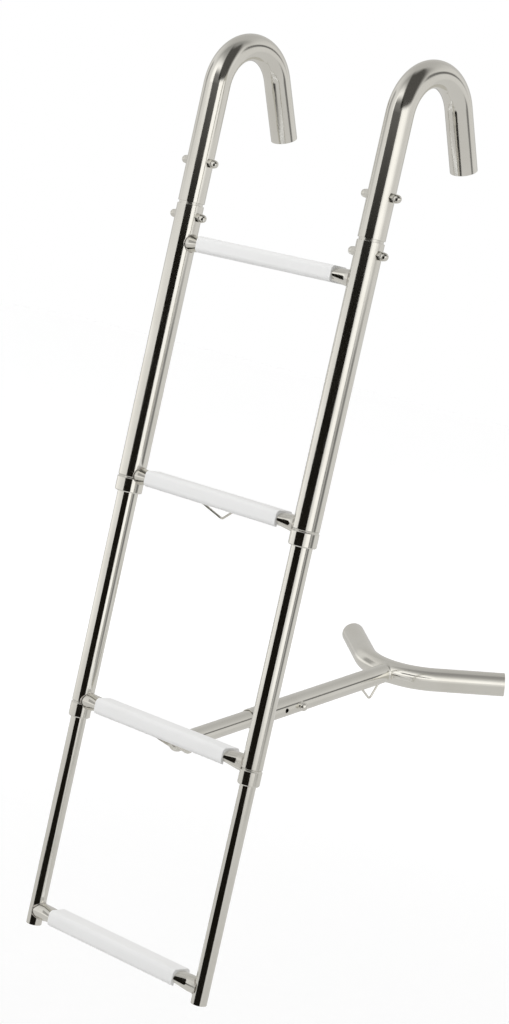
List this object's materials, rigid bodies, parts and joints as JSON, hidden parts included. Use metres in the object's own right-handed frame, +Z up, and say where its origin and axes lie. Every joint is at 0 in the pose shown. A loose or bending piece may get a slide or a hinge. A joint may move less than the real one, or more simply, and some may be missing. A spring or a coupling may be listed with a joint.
{
  "type": "telescopic boarding ladder",
  "caption": "Polished steel boarding ladder with gunwale hooks, telescoping rails, plastic treads and a hinged, adjustable stand-off strut with a forked end.",
  "frame": {"origin": "midway between the two hooks, at the crown of their inner curve, where they sit on the gunwale", "axes": "+X along the steps, +Y towards the hull, +Z up along the rails"},
  "size_m": [0.332, 0.5171, 1.1035],
  "materials": {
    "polished_steel": "mirror polished stainless steel",
    "white_plastic": "satin moulded plastic"
  },
  "bodies": {
    "hook_section": {"hook_left": "polished_steel", "hook_right": "polished_steel", "joint_sleeve_left": "polished_steel", "joint_sleeve_right": "polished_steel", "upper_rail_left": "polished_steel", "upper_rail_right": "polished_steel", "joint_studs_left": "polished_steel", "joint_studs_right": "polished_steel", "joint_nuts_left": "polished_steel", "joint_nuts_right": "polished_steel", "upper_collar_left": "polished_steel", "upper_collar_right": "polished_steel", "rung_1": "polished_steel", "rung_2": "polished_steel", "tread_1": "white_plastic", "tread_2": "white_plastic", "step_wire_loop": "polished_steel"},
    "middle_section": {"middle_rail_left": "polished_steel", "middle_rail_right": "polished_steel", "middle_collar_left": "polished_steel", "middle_collar_right": "polished_steel", "rung_3": "polished_steel", "tread_3": "white_plastic", "pivot_lug_left": "polished_steel", "pivot_lug_right": "polished_steel", "pivot_stud": "polished_steel", "pivot_nuts": "polished_steel"},
    "lower_section": {"lower_rail_left": "polished_steel", "lower_rail_right": "polished_steel", "rung_4": "polished_steel", "tread_4": "white_plastic"},
    "strut_inner": {"strut_arm": "polished_steel"},
    "strut_outer": {"strut_sheath": "polished_steel", "strut_fork": "polished_steel", "strut_wire_loop": "polished_steel", "lock_boss": "polished_steel", "lock_screw": "polished_steel"}
  },
  "joints": [
    {"name": "middle_slide", "type": "slide", "parent": "hook_section", "child": "middle_section", "axis": [0, 0, 1], "range_m": [0, 0.229]},
    {"name": "lower_slide", "type": "slide", "parent": "middle_section", "child": "lower_section", "axis": [0, 0, 1], "range_m": [0, 0.215]},
    {"name": "strut_hinge", "type": "hinge", "parent": "middle_section", "child": "strut_inner", "pos_m": [0, -0.022, -0.8005], "axis": [1, 0, 0], "range_deg": [-102.5, 75.4]},
    {"name": "strut_slide", "type": "slide", "parent": "strut_inner", "child": "strut_outer", "axis": [0, 0.972, 0.2351], "range_m": [-0.027, 0.054]}
  ]
}
